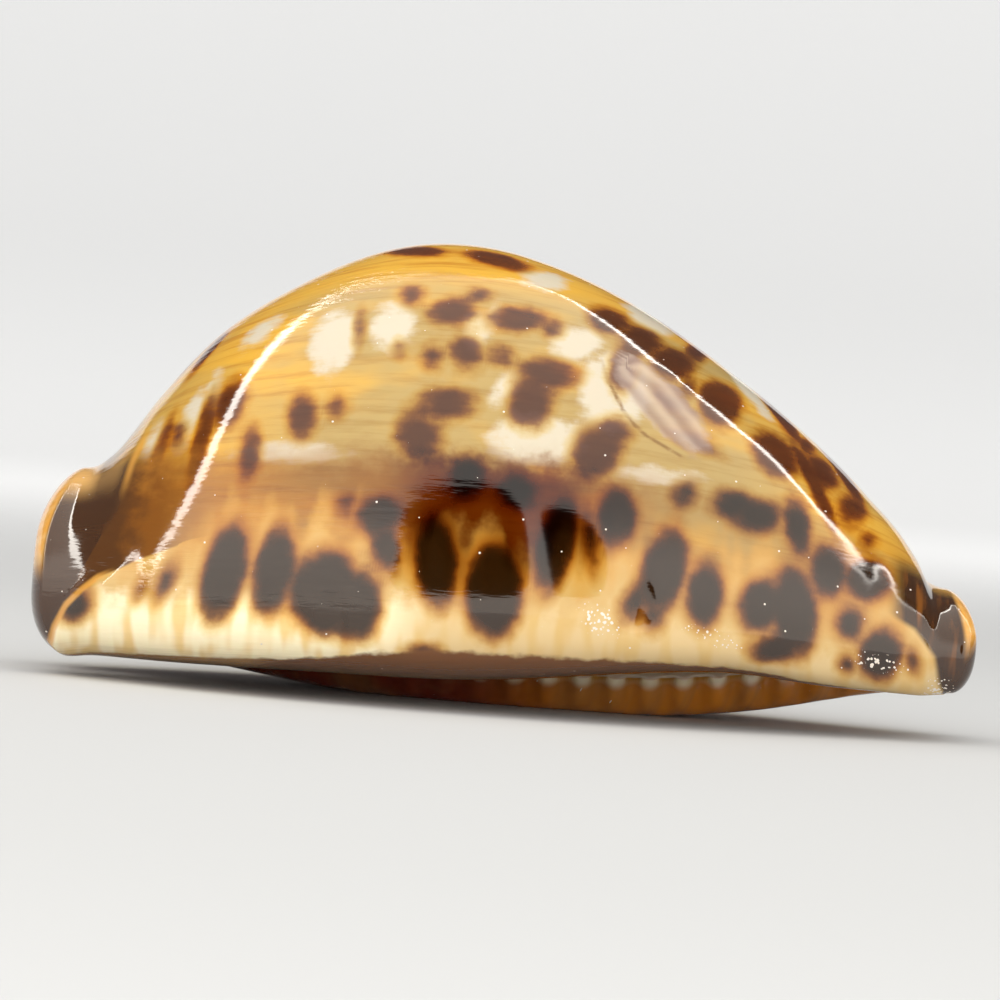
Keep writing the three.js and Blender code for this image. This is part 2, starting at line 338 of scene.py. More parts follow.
def relief(layers, station):
    near, far = layers["near"], layers["far"]
    up = np.minimum(near, far)
    neck = edge_distance(NECK_LINE, station, up)
    back_pad = edge_distance(BACK_PAD, station, up)
    front_pad = edge_distance(FRONT_PAD, station, up)
    ridge = edge_distance(SCAR_RIDGE, station, near)
    crack = edge_distance(SCAR_CRACK, station, near)
    scar = mark_field([SCAR_PATCH], station, near)
    height = ripples(station, up)
    at_back, at_front = ease((-22.5 - station) / 2), ease((station - 23.5) / 2)
    height += at_back * (0.12 * ease((0.4 - neck) / 0.8) - 0.12) * ease((up - 1) / 2)
    height += at_back * 0.22 * ease((back_pad + 0.3) / 0.6) * hump(np.maximum(back_pad - 0.4, 0), 1.2)
    height += at_front * 0.16 * ease((front_pad + 0.5) / 1) * hump(np.maximum(front_pad - 0.6, 0), 1.5)
    height += ease(-scar / 0.8) * (-0.1 + 0.09 * np.sin(SCAR_WAVE * ridge) * hump(ridge, 2.5))
    height += 0.1 * hump(ridge, 0.28) * ease(0.4 - scar) - 0.07 * hump(crack, 0.16)
    for x, y, size, depth in PITS:
        height -= depth * hump(np.hypot(station - x, (near - y) * 0.8), size)
    fade = layers["outer"] * (1 - layers["lip"]) * (1 - layers["rim"] ** 4)
    return {"neck": neck, "back_pad": back_pad, "front_pad": front_pad, "ridge": ridge, "crack": crack,
            "scar": scar}, height * fade


def raise_along_normal(points, height):
    along = np.gradient(points, axis=0)
    across = np.roll(points, -1, axis=1) - np.roll(points, 1, axis=1)
    normal = np.cross(along, across)
    normal /= np.linalg.norm(normal, axis=-1, keepdims=True) + 1e-12
    return points + normal * height[..., None]


# ---------------------------------------------------------------- markings
# Each mark is (station, distance up from the belt, half length, half width, direction), in mm and degrees
# from the shell's length. Deep marks are near-black blots, and faint ones stay brown.
DEEP = [
    (-17, 0, 2.7, 1.2, 80), (-14, 0, 2.4, 1.1, 83), (-11, -1.5, 2.3, 1.8, -60), (-9, -2, 1.9, 1.3, 90),
    (-10.5, 0, 1.2, 1, -45), (-4.5, 1, 2.5, 1.2, -82), (-1, -0.5, 2.6, 1.6, -88), (2.5, 2.5, 2.7, 1, 80),
    (6, 4.5, 1.6, 1, 88), (9, 1.5, 2.4, 1.2, 77), (11.5, 0.5, 1.7, 1, 85), (15, 0.5, 1.5, 1.1, 60),
    (17, 0.5, 2.4, 1.3, -84), (16, -2, 1.3, 0.7, 20), (19, 3.5, 1.5, 1, 80), (21.5, 3.5, 1.4, 1.1, 45),
    (22.5, -1, 1.5, 1.1, 67), (20.5, 0.5, 0.8, 0.6, 66), (-8, 3.5, 1.2, 1, 12), (-7.5, 1.5, 1.1, 0.7, -68),
    (0, 5.5, 1, 0.9, -12), (-3, 5.5, 0.9, 0.6, 10), (13, 6.5, 1.1, 0.8, 15), (14.5, 6, 1.2, 0.9, 30),
    (17, 6, 1.6, 0.7, -83), (-26, -2, 0.9, 0.8, 53),
]
DEEP_FAINT = [
    (4.5, 3, 2.2, 0.6, -81), (7.5, -0.5, 1.6, 0.9, 63), (20.5, -2, 0.7, 0.6, 74), (24.5, -1, 0.8, 0.5, -79),
    (-10, 4, 0.7, 0.7, 74), (-3, 6.5, 1.3, 1.2, 74), (10, 6.5, 1.1, 0.8, 63), (-20.5, -0.5, 1.4, 0.6, 69),
    (-22, -1, 0.8, 0.4, 69), (-5, -4.5, 1.1, 0.5, 7), (8.5, -1, 1.3, 0.8, 87),
]
FLECKS = [
    (-13, 10, 1.2, 0.7, -86), (-16, 7.5, 1.3, 0.5, 90), (-17.5, 11.5, 1.7, 0.8, 84), (-19, 9, 3.1, 0.4, 83),
    (-20.5, 9.5, 0.6, 0.3, 88), (-21.5, 9, 1.7, 0.3, 80), (-4.5, 11, 1.5, 0.9, 8), (-6, 8.5, 1.3, 1.1, -54),
    (0.5, 11.5, 1.5, 1.1, 86), (1.5, 14, 1.6, 1, 6), (4.5, 8.5, 1.5, 1.2, 83), (5.5, 10, 1, 0.8, 53),
    (-3.5, 15, 1, 0.8, -74), (-4.5, 18.5, 1.2, 1, 25), (-0.5, 18.5, 1.6, 1, 21), (6, 15.5, 1.7, 0.7, 84),
    (-7, 27, 1.7, 1.1, -34), (-2, 26, 1.9, 1.3, -22), (5, 20.5, 1.5, 1.1, 83), (7, 19, 1.7, 1.1, 78),
    (9, 17.5, 1.9, 1.1, 75), (10.5, 21, 1.9, 0.5, 82), (12, 15, 2.3, 1.2, 84), (15.5, 11.5, 1.9, 1.3, -78),
    (17.5, 14, 1.2, 0.4, 84), (18.5, 11.5, 1.7, 0.9, 87), (20.5, 9, 1.4, 0.7, 79),
]
FLECKS_FAINT = [
    (-11, 10.5, 0.9, 0.7, 87), (-5.5, 14.5, 1, 0.8, 83), (-7.5, 15, 0.7, 0.5, 89), (-1.5, 15, 1, 0.9, 11),
    (-7, 20, 1.3, 0.8, -88), (-3, 20.5, 0.9, 0.8, 29), (1.5, 18, 0.9, 0.8, 55), (-10, 17, 1.7, 0.4, 90),
    (10, 15.5, 1.2, 0.7, 82), (9, 13.5, 1.6, 0.8, -39), (10.5, 10.5, 1.8, 0.8, -21),
    (21.5, 6.5, 0.9, 0.5, 72),
]
PALE = [
    (-8, 17, 2.1, 1.3, 90), (5.6, 13.6, 3.3, 2.1, 80), (-1.1, 12.5, 1.2, 0.6, 60),
    (-2, 18.3, 1.1, 0.3, 88), (1, 9, 2.7, 1.7, 7), (-13.5, 7.5, 3.2, 0.7, -2),
    (1, 24, 1.6, 1.2, 65), (7.5, 23.5, 2.5, 1.4, -85), (-20, 10.5, 2.2, 0.5, 79), (-18.5, 13, 1.5, 0.4, -88),
    (-16, 18.5, 1.8, 0.8, 64), (-22, 9.5, 1.5, 0.5, 84), (-11.5, 16, 2.7, 1.4, 86), (-3, 17, 1.4, 0.7, 90),
    (8, 7.5, 2.6, 0.6, 6), (3, 17, 1.7, 1.3, 66),
]
FAINT = 0.4
FAR_SEED = 11
WORN = [(5.4, -1.9, 1.3, 0.8, -40), (12.2, -2, 1.6, 0.4, -10), (22.4, -1.5, 1.4, 0.5, 0), (26.4, -3, 1, 1, 0)]


def mark_field(marks, along, up):
    """Distance outside the nearest mark, negative inside; neighbouring marks flow together."""
    field = np.full(along.shape, 6.0)
    for x, y, long, wide, lean in marks:
        c, s = math.cos(math.radians(lean)), math.sin(math.radians(lean))
        dx, dy = along - x, up - y
        reach = np.hypot((dx * c + dy * s) / long, (dy * c - dx * s) / wide)
        distance = (reach - 1) * np.where(reach < 1, wide, math.sqrt(wide * long))
        blend = np.clip(0.5 + (field - distance) / 1.2, 0, 1)
        field = mix(field, distance, blend) - 0.6 * blend * (1 - blend)
    return field


def far_marks():
    """Marks of the inner-lip side, scattered in the same style: large blots low down, small flecks above."""
    draw = random.Random(FAR_SEED)
    deep, flecks, pale = [], [], []
    x = -21.0
    while x < 24:
        size = draw.uniform(0.9, 1.7)
        deep.append((x, draw.uniform(0.5, 2.5), size * draw.uniform(1.4, 2), size * 0.8,
                     draw.uniform(70, 105)))
        if draw.random() < 0.6:
            shift, top = draw.uniform(-1, 1), draw.uniform(5.5, 7.5)
            deep.append((x + shift, top, size * 0.9, size * 0.7, draw.uniform(0, 90)))
        x += size * 2 + draw.uniform(0.3, 1.6)
    for row, top in enumerate((10.5, 14, 17.5, 21, 24.5)):
        x = -20.0 + 1.5 * (row % 2)
        while x < 20:
            size = draw.uniform(0.7, 1.4)
            spot = (x + draw.uniform(-1, 1), top + draw.uniform(-1.2, 1.2), size * 1.3, size,
                    draw.uniform(0, 90))
            (flecks if draw.random() < 0.75 else pale).append(spot)
            x += size * 2 + draw.uniform(1, 4.5)
    return deep, flecks, pale


def mark_layers(layers, station):
    near, far = layers["near"], layers["far"]
    deep, flecks, pale = far_marks()

    def both(strong, faint, beyond):
        here = np.minimum(mark_field(strong, station, near), mark_field(faint, station, near) + FAINT)
        return np.minimum(here, mark_field(beyond, station, far))

    return {
        "blot": both(DEEP, DEEP_FAINT, deep),
        "fleck": both(FLECKS, FLECKS_FAINT, flecks),
        "pale": both(PALE, [], pale),
        "worn": both(WORN, [], []),
    }


def skin(name, points):
    """Closed surface through neighbouring loops; the two end loops fold shut on the wall's middle line."""
    loops, per_loop, _ = points.shape
    index = np.arange(loops * per_loop).reshape(loops, per_loop)
    half = per_loop // 2
    for row in (0, loops - 1):
        index[row, half + 1:] = index[row, 1:half][::-1]
    a, b = index[:-1], np.roll(index[:-1], -1, axis=1)
    d, c = index[1:], np.roll(index[1:], -1, axis=1)
    quads = np.stack([a, d, c, b], axis=-1).reshape(-1, 4)
    used, compact = np.unique(quads, return_inverse=True)
    quads = compact.reshape(-1, 4)
    mesh = bpy.data.meshes.new(name)
    vertices = points.reshape(-1, 3)[used] * MM
    mesh.vertices.add(len(vertices))
    mesh.vertices.foreach_set("co", vertices.ravel())
    mesh.loops.add(quads.size)
    mesh.loops.foreach_set("vertex_index", quads.ravel().astype(np.int32))
    mesh.polygons.add(len(quads))
    mesh.polygons.foreach_set("loop_start", np.arange(0, quads.size, 4, dtype=np.int32))
    mesh.polygons.foreach_set("loop_total", np.full(len(quads), 4, dtype=np.int32))
    mesh.update(calc_edges=True)
    mesh.validate()
    mesh.polygons.foreach_set("use_smooth", np.ones(len(quads), dtype=bool))
    return mesh, used


def store(mesh, name, values):
    layer = mesh.attributes.new(name, "FLOAT", "POINT")
    layer.data.foreach_set("value", values.astype(np.float32))


def build_shell():
    points, layers = shell_grid()
    station = points[..., 0].copy()
    lines, height = relief(layers, station)
    points = raise_along_normal(points, height)
    mesh, used = skin("shell_fine", lay_to_rest(points))
    layers["station"] = station
    layers.update(lines)
    layers.update(mark_layers(layers, station))
    for name, values in layers.items():
        store(mesh, name, values.ravel()[used])
    shell = bpy.data.objects.new("shell_fine", mesh)
    bpy.context.scene.collection.objects.link(shell)
    return shell


# ---------------------------------------------------------------- glaze
class Nodes:
    """Short names for the shader nodes that the glaze uses."""

    def __init__(self, material):
        material.use_nodes = True
        self.tree = material.node_tree
        self.shader = self.tree.nodes["Principled BSDF"]

    def add(self, kind, *inputs, **settings):
        node = self.tree.nodes.new(kind)
        for name, value in settings.items():
            setattr(node, name, value)
        for socket, value in zip(node.inputs, inputs):
            self.feed(socket, value)
        return node

    def feed(self, socket, value):
        if isinstance(value, bpy.types.NodeSocket):
            self.tree.links.new(value, socket)
        elif value is not None:
            socket.default_value = value

    def layer(self, name):
        return self.add("ShaderNodeAttribute", attribute_name=name).outputs["Fac"]

    def math(self, operation, a, b=None, c=None, clamp=False):
        return self.add("ShaderNodeMath", a, b, c, operation=operation, use_clamp=clamp).outputs[0]

    def vector(self, x, y, z=0.0):
        return self.add("ShaderNodeCombineXYZ", x, y, z).outputs[0]

    def noise(self, place, scale, detail=3.0, rough=0.5, warp=0.0):
        node = self.add("ShaderNodeTexNoise")
        for name, value in (("Vector", place), ("Scale", scale), ("Detail", detail), ("Roughness", rough),
                            ("Distortion", warp)):
            self.feed(node.inputs[name], value)
        return node.outputs["Fac"]

    def step(self, value, low, high, to_low=0.0, to_high=1.0):
        """Smooth step of value from low to high."""
        node = self.add("ShaderNodeMapRange", interpolation_type="SMOOTHSTEP")
        for name, setting in (("Value", value), ("From Min", low), ("From Max", high), ("To Min", to_low),
                              ("To Max", to_high)):
            self.feed(node.inputs[name], setting)
        return node.outputs["Result"]

    def blend(self, amount, a, b):
        node = self.add("ShaderNodeMix", data_type="RGBA")
        for socket, value in ((node.inputs["Factor"], amount), (node.inputs[6], a), (node.inputs[7], b)):
            self.feed(socket, value if isinstance(value, (float, bpy.types.NodeSocket)) else (*value, 1))
        return node.outputs[2]

    def tint(self, a, b):
        """One colour laid over another as a see-through pigment."""
        node = self.add("ShaderNodeMix", data_type="RGBA", blend_type="MULTIPLY")
        node.inputs["Factor"].default_value = 1.0
        for socket, value in ((node.inputs[6], a), (node.inputs[7], b)):
            self.feed(socket, value if isinstance(value, bpy.types.NodeSocket) else (*value, 1))
        return node.outputs[2]

    def ramp(self, value, stops):
        """Colours along a value; stops are (place, colour) with place in the value's own units."""
        low, high = stops[0][0], stops[-1][0]
        spread = self.add("ShaderNodeMapRange", value, low, high, 0.0, 1.0).outputs["Result"]
        node = self.add("ShaderNodeValToRGB", spread)
        node.color_ramp.interpolation = "B_SPLINE"
        while len(node.color_ramp.elements) < len(stops):
            node.color_ramp.elements.new(0.5)
        for element, (place, colour) in zip(node.color_ramp.elements, stops):
            element.position = (place - low) / (high - low)
            element.color = (*colour, 1)
        return node.outputs["Color"]


CLEAR = (1.0, 1.0, 1.0)
CREAM = (0.425, 0.305, 0.112)
CREAM_LINE = (0.35, 0.225, 0.066)
HONEY = (0.66, 0.39, 0.055)
HONEY_LINE = (0.50, 0.24, 0.028)
WHITE = (0.60, 0.555, 0.475)
FLECK = [(-0.45, (0.15, 0.062, 0.048)), (-0.15, (0.19, 0.078, 0.05)), (0.08, (0.37, 0.17, 0.07)),
         (0.3, (0.68, 0.44, 0.15)), (0.6, (0.94, 0.79, 0.44)), (1.0, CLEAR)]
BLOT = [(-0.4, (0.03, 0.02, 0.016)), (-0.12, (0.06, 0.03, 0.02)), (0.1, (0.25, 0.11, 0.04)),
        (0.3, (0.56, 0.34, 0.13)), (0.6, (0.86, 0.72, 0.44)), (1.0, CLEAR)]
BAND = (0.56, 0.31, 0.11)
BAND_DEEP = (0.36, 0.16, 0.035)
FLAME = (0.585, 0.385, 0.135)
FLAME_GOLD = (0.56, 0.295, 0.052)
# Cream of the margin's foot, raised to full brightness as painted light from below.
FOOT_CREAM_LIT = (1.0, 0.90, 0.64)
FOOT_HONEY = (0.86, 0.62, 0.27)
# Brown under the outer lip, darkened as painted shade for the shadow beneath the lip.
UNDER_SHADE_BROWN = (0.16, 0.052, 0.006)
BASE_TAN = (0.42, 0.23, 0.08)
BASE_UMBER = (0.30, 0.14, 0.04)
FAR_BASE = (0.62, 0.21, 0.012)
# Dark red-brown of the inner lip's back half: partly its own colour, partly painted shade.
FAR_SHADE_RED = (0.19, 0.020, 0.005)
EDGE_BROWN = (0.32, 0.13, 0.018)
END_DARK = (0.050, 0.021, 0.009)
CRACK_BROWN = (0.20, 0.09, 0.015)
FRONT_DARK = (0.040, 0.016, 0.006)
FRONT_RUST = (0.22, 0.075, 0.012)
END_BROWN = (0.19, 0.066, 0.009)
EDGE_ORANGE = (0.66, 0.32, 0.06)
RIM_GOLD = (0.70, 0.40, 0.13)
TOOTH_CREAM = (0.86, 0.72, 0.48)
TOOTH_GAP = (0.58, 0.30, 0.06)
INNER_CREAM = (0.60, 0.46, 0.33)
SCAR_MAUVE = (0.30, 0.20, 0.16)
# Pale of the scar's wavy ridges, partly painted highlight on their crests.
SCAR_PALE_HIGHLIGHT = (0.50, 0.38, 0.29)
WORN_WHITE = (0.75, 0.68, 0.60)
GLAZE_ROUGHNESS = 0.055
GLAZE_IOR = 1.7
GROOVE_DEPTH = 0.022 * MM


def paint_dorsum(n, at):
    """Cream ground with lines along the shell, honey towards the crest, pale patches and soft flecks."""
    line_amount = n.step(at["lines"], 0.45, 0.72)
    ground = n.blend(line_amount, CREAM, CREAM_LINE)
    honey = n.math("ADD", n.step(at["cloud"], 0.47, 0.68, 0.0, 0.8), n.step(at["up"], 19.5, 24.0))
    honey = n.math("ADD", honey, n.step(at["station"], -11.0, -17.0, 0.0, 0.6))
    honey = n.math("ADD", honey, n.step(at["station"], 12.0, 20.0, 0.0, 0.6), clamp=True)
    honey_lined = n.blend(line_amount, HONEY, HONEY_LINE)
    ground = n.blend(honey, ground, honey_lined)
    pale = n.math("ADD", n.layer("pale"), n.math("MULTIPLY", at["wander"], 1.6))
    pale = n.math("ADD", pale, n.math("MULTIPLY", at["fine"], 0.7))
    ground = n.blend(n.step(pale, 0.6, -0.45), ground, WHITE)
    fleck = n.math("ADD", n.layer("fleck"), n.math("MULTIPLY", at["wander"], 0.9))
    fleck = n.math("ADD", fleck, n.math("MULTIPLY", at["fine"], 0.25))
    return n.tint(ground, n.ramp(fleck, FLECK))


def paint_margin(n, at, ground):
    """Brown band, cream flames rising from the margin with a foot partly brightened as painted light, and the
    large dark blots.
    """
    edge = n.math("ADD", at["up"], n.math("MULTIPLY", at["wander"], 2.4))
    strength = n.math("MULTIPLY", n.step(at["station"], 4.0, 11.0, 1.0, 0.3),
                      n.step(at["station"], -7.0, -14.0, 1.0, 0.8))
    band = n.math("MULTIPLY", n.step(edge, 9.0, 5.6), strength)
    ground = n.tint(ground, n.blend(band, CLEAR, BAND))
    middle = n.math("ABSOLUTE", n.math("ADD", at["station"], 1.5))
    deep = n.math("MULTIPLY", n.step(middle, 7.0, 3.5), n.step(edge, 8.4, 6.4))
    lick = n.noise(n.vector(at["station"], n.math("MULTIPLY", at["near"], 0.2)), 0.55, 1)
    flame_top = n.math("ADD", edge, n.step(lick, 0.3, 0.7, 1.2, -1.2))
    flame_top = n.math("ADD", flame_top, n.step(middle, 6.5, 3.5, 0.0, 1.3))
    flame_colour = n.blend(n.step(flame_top, -1.0, 3.2), FLAME, FLAME_GOLD)
    # The foot's cream is partly its own colour and partly painted light from below, strongest towards the
    # back end.
    foot = n.math("MULTIPLY", n.step(edge, -0.5, -2.5), n.step(at["station"], -4.0, -9.0, 0.25, 1.0))
    streak = n.noise(n.vector(at["station"], n.math("MULTIPLY", at["near"], 0.25)), 0.9, 1)
    flame_colour = n.blend(foot, flame_colour, n.blend(n.step(streak, 0.42, 0.7), FOOT_CREAM_LIT, FOOT_HONEY))
    ground = n.tint(ground, n.blend(deep, CLEAR, BAND_DEEP))
    ground = n.blend(n.step(flame_top, 4.8, 1.4), ground, flame_colour)
    blot = n.math("ADD", n.layer("blot"), n.math("MULTIPLY", at["wander"], 0.7))
    return n.tint(ground, n.ramp(blot, BLOT))


def paint_base(n, at, ground):
    """Dark turn under the outer lip, partly painted shade; tan base; and the amber inner lip, darker towards
    the back with partly painted shade.
    """
    edge = n.math("ADD", at["near"], n.math("MULTIPLY", at["wander"], 1.0))
    tan = n.blend(n.step(at["cloud"], 0.35, 0.7), BASE_TAN, BASE_UMBER)
    # Painted shade: a dark brown band on the turn under the outer lip, fading to tan further under and at the
    # back end.
    under = n.blend(n.step(at["station"], -13.0, -16.0), UNDER_SHADE_BROWN, tan)
    under = n.blend(n.step(edge, -7.5, -10.5), under, tan)
    turn = n.math("ADD", edge, n.step(at["station"], -3.0, -16.0, 0.0, 1.9))
    ground = n.blend(n.step(turn, -4.2, -4.7), ground, under)
    far_edge = n.math("ADD", at["far"], n.math("MULTIPLY", at["wander"], 1.2))
    # The inner lip is darker red-brown towards the back, partly painted shade.
    inner = n.blend(n.step(at["station"], -4.0, 7.0), FAR_SHADE_RED, FAR_BASE)
    inner = n.blend(n.step(at["cloud"], 0.4, 0.65, 0.0, 0.5), inner, tan)
    return n.blend(n.step(far_edge, -4.0, -6.5), ground, inner)


def paint_ends(n, at, ground):
    """Dark flared ends with a bright edge where the margin's pads and the neck stop."""
    pad, neck = n.layer("back_pad"), n.layer("neck")
    wobble = n.math("MULTIPLY", at["wander"], 0.5)
    behind = n.math("MULTIPLY", n.step(pad, 0.1, -0.1), n.step(at["station"], -17.5, -21.5))
    low = n.step(at["up"], 9.5, 7.0)
    outer_side = n.step(n.math("SUBTRACT", at["near"], at["far"]), 0.0, -6.0)
    brown = n.math("MULTIPLY", n.math("MULTIPLY", behind, low), outer_side)
    shade = n.step(n.math("ADD", at["up"], n.math("MULTIPLY", at["wander"], 7.0)), 9.5, 4.0)
    brown_colour = n.blend(shade, EDGE_BROWN, END_BROWN)
    ragged_station = n.math("ADD", at["station"], n.math("MULTIPLY", at["wander"], 3.0))
    near_flange = n.step(ragged_station, -21.6, -23.8, 0.0, 0.75)
    ground = n.blend(brown, ground, n.blend(near_flange, brown_colour, END_DARK))
    flange = n.math("MULTIPLY", n.step(n.math("ADD", neck, wobble), -0.2, 0.5), n.step(pad, 0.1, -0.1))
    faded = n.step(ragged_station, -22.0, -25.4)
    outer_neck = n.math("MULTIPLY", outer_side, n.step(at["up"], 10.0, 7.5))
    flange = n.math("MULTIPLY", flange, n.math("MAXIMUM", outer_neck, faded))
    ground = n.blend(flange, ground, END_DARK)
    crest = n.math("MULTIPLY", n.step(neck, 0.1, 1.0), n.step(at["up"], 4.8, 8.2))
    golden = n.step(n.math("SUBTRACT", at["near"], at["far"]), 2.0, -14.0, 0.0, 0.38)
    at_end = n.step(n.math("ADD", at["station"], wobble), -24.8, -26.2)
    crest = n.math("MULTIPLY", crest, n.math("MAXIMUM", golden, at_end))
    ground = n.blend(n.math("MULTIPLY", crest, 0.9), ground, RIM_GOLD)
    seam = n.math("MULTIPLY", n.step(n.math("ABSOLUTE", neck), 0.45, 0.0, 0.0, 0.7),
                  n.step(at["up"], 4.5, 7.5))
    seam = n.math("MULTIPLY", seam, n.step(at["up"], 11.5, 9.0))
    ground = n.blend(seam, ground, EDGE_ORANGE)
    lip_line = n.math("MULTIPLY", n.step(n.math("ABSOLUTE", pad), 0.34, 0.08),
                      n.step(at["station"], -23.5, -25.0, 0.0, 0.8))
    ground = n.blend(lip_line, ground, EDGE_ORANGE)
    front = n.math("MULTIPLY", n.step(at["station"], 22.6, 24.0), n.step(n.layer("front_pad"), 0.2, -0.3))
    streak_place = n.vector(n.math("MULTIPLY", at["station"], 1.6), n.math("MULTIPLY", at["near"], 0.25))
    streak = n.noise(streak_place, 0.8, 2)
    front_colour = n.blend(n.step(streak, 0.5, 0.75, 0.0, 0.8), FRONT_DARK, FRONT_RUST)
    front = n.math("MULTIPLY", front, n.step(at["up"], 7.0, 4.5))
    ground = n.blend(front, ground, front_colour)
    rim = n.math("MULTIPLY", n.step(n.layer("rim"), 0.15, 0.5), n.step(at["up"], -1.0, 1.5))
    rim_colour = n.blend(n.step(n.math("ADD", at["wander"], 0.5), 0.4, 0.62), RIM_GOLD, EDGE_ORANGE)
    return n.blend(rim, ground, rim_colour)


def paint_wear(n, at, ground):
    """Healed scar whose pale wavy ridges are partly painted highlight, and scattered bright chips where the
    glaze is worn.
    """
    # The pale stripes sit on the crests of the scar's raised waves: partly painted highlight.
    ridge = n.math("MULTIPLY", n.math("SINE", n.math("MULTIPLY", n.layer("ridge"), SCAR_WAVE)), 0.5)
    scar_and_highlight = n.blend(n.math("ADD", ridge, 0.5), SCAR_MAUVE, SCAR_PALE_HIGHLIGHT)
    scar = n.math("ADD", n.layer("scar"), n.math("MULTIPLY", at["wander"], 1.2))
    ground = n.blend(n.step(scar, 0.1, -0.5, 0.0, 0.75), ground, scar_and_highlight)
    crack = n.math("ADD", n.math("ABSOLUTE", n.layer("crack")), n.math("MULTIPLY", at["fine"], 0.25))
    along = n.math("MULTIPLY", n.step(at["station"], 4.5, 5.2), n.step(at["station"], 11.3, 10.0))
    along = n.math("MULTIPLY", along, n.step(at["wander"], -0.12, 0.08, 0.3, 1.0))
    crack = n.math("MULTIPLY", n.step(crack, 0.22, 0.02, 0.0, 0.85), along)
    ground = n.blend(crack, ground, CRACK_BROWN)
    chips = n.add("ShaderNodeTexVoronoi", voronoi_dimensions="2D")
    n.feed(chips.inputs["Vector"], at["grain"])
    n.feed(chips.inputs["Scale"], 3.4)
    chipped = n.math("ADD", chips.outputs["Distance"], n.math("MULTIPLY", at["fine"], 0.5))
    worn = n.step(n.layer("worn"), 0.4, -0.6, 0.05, 0.4)
    worn = n.math("MULTIPLY", worn, n.step(n.noise(at["grain"], 2.5, 2), 0.4, 0.62, 0.1, 1.25))
    chip = n.math("MULTIPLY", n.math("LESS_THAN", chipped, worn), n.step(n.layer("worn"), 0.4, 0.1))
    specks = n.add("ShaderNodeTexVoronoi", voronoi_dimensions="2D")
    n.feed(specks.inputs["Vector"], at["grain"])
    n.feed(specks.inputs["Scale"], 0.3)
    size = n.step(n.noise(at["grain"], 0.35, 0), 0.42, 0.66, 0.004, 0.02)
    speck = n.math("LESS_THAN", specks.outputs["Distance"], size)
    return n.blend(n.math("MAXIMUM", chip, speck), ground, WORN_WHITE)


def glaze():
    material = bpy.data.materials.new("shell_glaze")
    n = Nodes(material)
    station, near, far = n.layer("station"), n.layer("near"), n.layer("far")
    streaks = n.vector(n.math("MULTIPLY", station, 0.1), near)
    grain = n.vector(station, near)
    at = {
        "station": station,
        "near": near,
        "far": far,
        "up": n.math("MINIMUM", near, far),
        "grain": grain,
        "wander": n.math("SUBTRACT", n.noise(grain, 0.8, 3, 0.55), 0.5),
        "fine": n.math("SUBTRACT", n.noise(streaks, 3.0, 4, 0.7), 0.5),
        "cloud": n.noise(n.vector(n.math("MULTIPLY", station, 0.5), near), 0.2, 3, 0.5),
        "lines": n.noise(streaks, 1.3, 5, 0.65),
    }
    colour = paint_dorsum(n, at)
    colour = paint_margin(n, at, colour)
    colour = paint_base(n, at, colour)
    colour = paint_ends(n, at, colour)
    colour = paint_wear(n, at, colour)
    teeth = n.blend(n.step(n.layer("gap"), 0.15, 0.6), TOOTH_CREAM, TOOTH_GAP)
    colour = n.blend(n.step(n.layer("toothed"), 0.15, 0.9), colour, teeth)
    colour = n.blend(n.layer("outer"), INNER_CREAM, colour)
    shader = n.shader.inputs
    n.feed(shader["Base Color"], colour)
    shader["Roughness"].default_value = GLAZE_ROUGHNESS
    shader["IOR"].default_value = GLAZE_IOR
    shader["Subsurface Weight"].default_value = 0.12
    shader["Subsurface Radius"].default_value = (1.0, 0.45, 0.2)
    shader["Subsurface Scale"].default_value = 0.9 * MM
    grooves = n.noise(n.vector(n.math("MULTIPLY", station, 0.14), near), 2.2, 3, 0.6)
    bump = n.add("ShaderNodeBump")
    n.feed(bump.inputs["Height"], n.math("MULTIPLY", grooves, n.step(station, 2.0, -14.0, 0.2, 1.5)))
    bump.inputs["Strength"].default_value = 1.0
    bump.inputs["Distance"].default_value = GROOVE_DEPTH
    n.feed(shader["Normal"], bump.outputs["Normal"])
    return material


# ---------------------------------------------------------------- studio
AIM = Vector((-0.8, 0, 12.5)) * MM
CAMERA_AWAY = 400 * MM
CAMERA_RISE = math.radians(1)
CAMERA_ROLL = math.radians(4.5)
VIEW_WIDTH = 61.6 * MM
LAMP_COLOUR = (1, 0.96, 0.89, 1)

# The light tent is a lit cloth dome. Its edge and its dark gaps are drawn as (azimuth, elevation) in degrees
# seen from the shell: azimuth 0 is towards the camera and 90 is the shell's front end. The last value of an
# edge point is the width of its bright hem.
DOME_MIDDLE = (0, 0, 12)
DOME_SIZE = 450
DOME_LOW = -1.4
CLOTH = 1.7
HEM = 10
CLOTH_EDGE = [(-70, -2, 0.05), (-73, 3, 0.05), (-76, 14, 1), (-79, 25, 3), (-86, 33, 3), (-94, 39, 2.8),
              (-108, 45, 2.6), (-127, 46, 2.2), (-143, 43, 1.6), (-153, 42, 0.9), (-160, 54, 0.25),
              (-182, 58, 0.15), (-196, 46, 0.3), (-207, 48, 1.2), (-221, 49, 1.5), (-230, 44, 1.4),
              (-241, 42, 1.1), (-248, 39.5, 1), (-254, 38, 0.7), (-262, 36.6, 0.5), (-268, 35.4, 0.4),
              (-271, 33.5, 0.25), (-277, 30.2, 0.12), (-282, 25.5, 0.12), (-284.5, 19, 0.2), (-284.5, 8, 0.3),
              (-284, -2, 0.3)]
GAPS = [
    [(-7, 7), (-6, 20), (-7.5, 33), (-5, 38), (-1, 39.5), (3, 41), (7, 40), (10, 38), (13, 36), (14, 22),
     (13, 7)],
    [(20, 9), (19, 24), (18.5, 35), (22, 36.5), (27, 37), (31, 34), (32, 24), (29, 9)],
]
FLOOR_FLAT = 0.9
FLOOR_CURVE = 0.3
FLOOR_SIDES = 96
FLOOR_DROP = 0.02 * MM  # keeps the floor clear of the shell's resting flat
